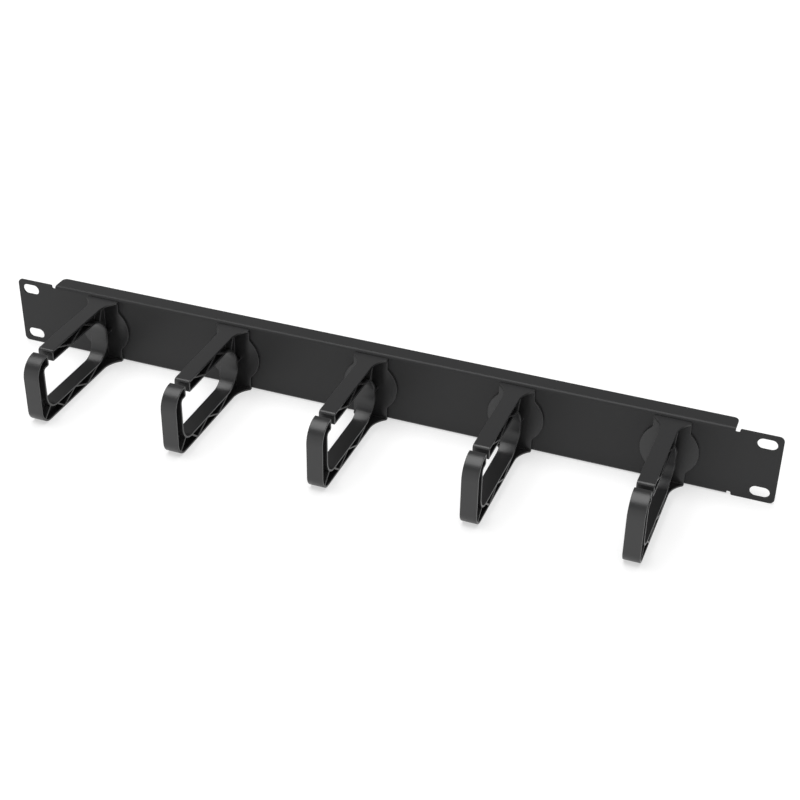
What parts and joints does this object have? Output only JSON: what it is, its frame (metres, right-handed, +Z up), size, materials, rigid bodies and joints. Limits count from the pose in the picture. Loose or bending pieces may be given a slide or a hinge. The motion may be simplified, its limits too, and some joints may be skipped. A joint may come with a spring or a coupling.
{
  "type": "horizontal cable manager",
  "caption": "Folded steel rack panel, one unit high, with moulded D-shaped rings standing out of its face that hold patch cables through a slit in each top arm.",
  "frame": {"origin": "centre of the four-slot pattern, in the rear face of the sheet that seats on the rack rails", "axes": "+X along the panel to the right seen from the front, +Y into the rack, +Z up; the rings stand out along -Y"},
  "size_m": [0.4826, 0.0964, 0.044],
  "materials": {
    "panel_coat": "satin black powder coat with a fine even grain",
    "ring_plastic": "satin black moulded plastic with a soft sheen"
  },
  "bodies": {
    "root": {"rack_panel": "panel_coat", "cable_ring_1": "ring_plastic", "cable_ring_2": "ring_plastic", "cable_ring_3": "ring_plastic", "cable_ring_4": "ring_plastic", "cable_ring_5": "ring_plastic"}
  },
  "joints": []
}
